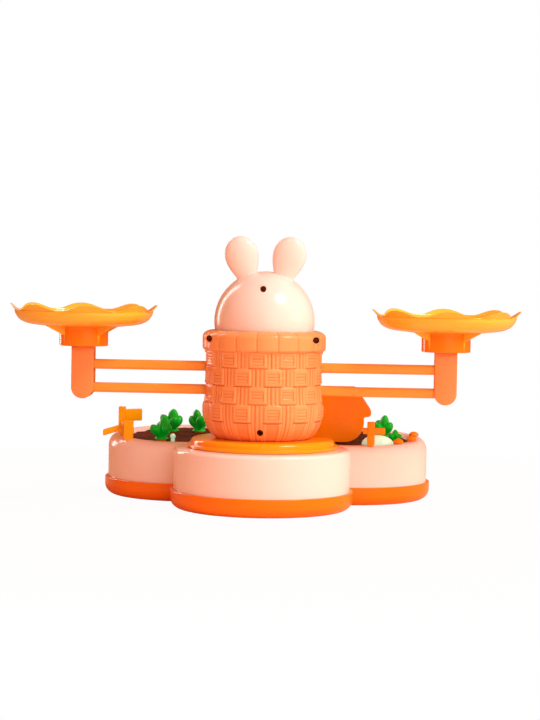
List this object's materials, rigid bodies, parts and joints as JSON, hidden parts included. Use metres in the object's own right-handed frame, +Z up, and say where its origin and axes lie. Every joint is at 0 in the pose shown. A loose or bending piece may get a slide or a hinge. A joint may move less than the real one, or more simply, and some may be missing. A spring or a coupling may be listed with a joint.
{
  "type": "toy balance scale",
  "caption": "Toy balance scale: a rabbit in a basket holds a parallel-bar beam with a scalloped tray at each end, over a clover-shaped base with two small gardens.",
  "frame": {"origin": "centre of the object's box, at the underside of the rubber feet", "axes": "+X along the beam towards the tray that is on the right in the picture, +Y away from the pictured side, towards the rabbit's face, +Z up"},
  "size_m": [0.3708, 0.2124, 0.1984],
  "materials": {
    "cream": "satin moulded",
    "basket_orange": "glossy moulded",
    "tray_orange": "glossy moulded",
    "shell_orange": "glossy moulded",
    "bar_orange": "glossy moulded",
    "sign_orange": "glossy moulded",
    "fence_yellow": "glossy moulded",
    "leaf_green": "glossy moulded",
    "pale_green": "satin moulded",
    "soil_brown": "satin moulded, furrowed",
    "carrot_orange": "glossy moulded",
    "black_trim": "glossy moulded",
    "pink_trim": "glossy moulded",
    "screw_steel": "zinc plated",
    "foot_rubber": "matte"
  },
  "bodies": {
    "base": {"base_top_shell": "cream", "head_back_shell": "cream", "head_front_shell": "cream", "left_ear": "cream", "right_ear": "cream", "basket_back_shell": "basket_orange", "basket_front_shell": "basket_orange", "pedestal_disc": "tray_orange", "base_bottom_shell": "shell_orange", "house_sign": "sign_orange", "right_fence": "sign_orange", "marker_dome_1": "sign_orange", "marker_dome_2": "sign_orange", "marker_dome_3": "sign_orange", "left_fence": "fence_yellow", "pale_mound": "pale_green", "pale_bud": "pale_green", "left_soil_bed": "soil_brown", "right_soil_bed": "soil_brown", "left_eye": "black_trim", "right_eye": "black_trim", "nose": "pink_trim", "base_screw_1": "screw_steel", "base_screw_2": "screw_steel", "base_screw_3": "screw_steel", "base_screw_4": "screw_steel", "base_screw_5": "screw_steel", "disc_screw_left": "screw_steel", "disc_screw_right": "screw_steel", "basket_screw_left": "screw_steel", "basket_screw_right": "screw_steel", "basket_screw_low": "screw_steel", "head_screw": "screw_steel", "upper_pivot_pin": "screw_steel", "lower_pivot_pin": "screw_steel", "rubber_foot_1": "foot_rubber", "rubber_foot_2": "foot_rubber", "rubber_foot_3": "foot_rubber", "rubber_foot_4": "foot_rubber"},
    "upper_beam": {"upper_beam": "bar_orange"},
    "lower_beam": {"lower_beam": "bar_orange"},
    "left_post": {"left_post": "basket_orange"},
    "right_post": {"right_post": "basket_orange"},
    "left_tray": {"left_tray": "tray_orange"},
    "right_tray": {"right_tray": "tray_orange"},
    "carrot_1": {"carrot_1_leaves": "leaf_green", "carrot_1_root": "carrot_orange"},
    "carrot_2": {"carrot_2_leaves": "leaf_green", "carrot_2_root": "carrot_orange"},
    "carrot_3": {"carrot_3_leaves": "leaf_green", "carrot_3_root": "carrot_orange"},
    "carrot_4": {"carrot_4_leaves": "leaf_green", "carrot_4_root": "carrot_orange"},
    "carrot_5": {"carrot_5_leaves": "leaf_green", "carrot_5_root": "carrot_orange"},
    "carrot_6": {"carrot_6_leaves": "leaf_green", "carrot_6_root": "carrot_orange"}
  },
  "joints": [
    {"name": "beam_tilt", "type": "hinge", "parent": "base", "child": "upper_beam", "pos_m": [0, -0.03475, 0.1037], "axis": [0, 1, 0], "range_deg": [-8, 8]},
    {"name": "lower_beam_tilt", "type": "hinge", "parent": "base", "child": "lower_beam", "pos_m": [0, -0.03475, 0.0867], "axis": [0, 1, 0], "range_deg": [-8, 8]},
    {"name": "left_post_pivot", "type": "hinge", "parent": "upper_beam", "child": "left_post", "pos_m": [-0.1319, -0.03475, 0.1037], "axis": [0, 1, 0], "range_deg": [-8, 8]},
    {"name": "left_tray_lift", "type": "slide", "parent": "left_post", "child": "left_tray", "axis": [0, 0, 1], "range_m": [0, 0.012]},
    {"name": "right_post_pivot", "type": "hinge", "parent": "upper_beam", "child": "right_post", "pos_m": [0.1319, -0.03475, 0.1037], "axis": [0, 1, 0], "range_deg": [-8, 8]},
    {"name": "right_tray_lift", "type": "slide", "parent": "right_post", "child": "right_tray", "axis": [0, 0, 1], "range_m": [0, 0.012]},
    {"name": "carrot_1_pull", "type": "slide", "parent": "base", "child": "carrot_1", "axis": [0, 0, 1], "range_m": [0, 0.03]},
    {"name": "carrot_2_pull", "type": "slide", "parent": "base", "child": "carrot_2", "axis": [0, 0, 1], "range_m": [0, 0.03]},
    {"name": "carrot_3_pull", "type": "slide", "parent": "base", "child": "carrot_3", "axis": [0, 0, 1], "range_m": [0, 0.03]},
    {"name": "carrot_4_pull", "type": "slide", "parent": "base", "child": "carrot_4", "axis": [0, 0, 1], "range_m": [0, 0.03]},
    {"name": "carrot_5_pull", "type": "slide", "parent": "base", "child": "carrot_5", "axis": [0, 0, 1], "range_m": [0, 0.03]},
    {"name": "carrot_6_pull", "type": "slide", "parent": "base", "child": "carrot_6", "axis": [0, 0, 1], "range_m": [0, 0.03]}
  ],
  "couplings": [
    {"joint": "lower_beam_tilt", "follows": "beam_tilt", "ratio": 1},
    {"joint": "left_post_pivot", "follows": "beam_tilt", "ratio": -1},
    {"joint": "right_post_pivot", "follows": "beam_tilt", "ratio": -1}
  ]
}
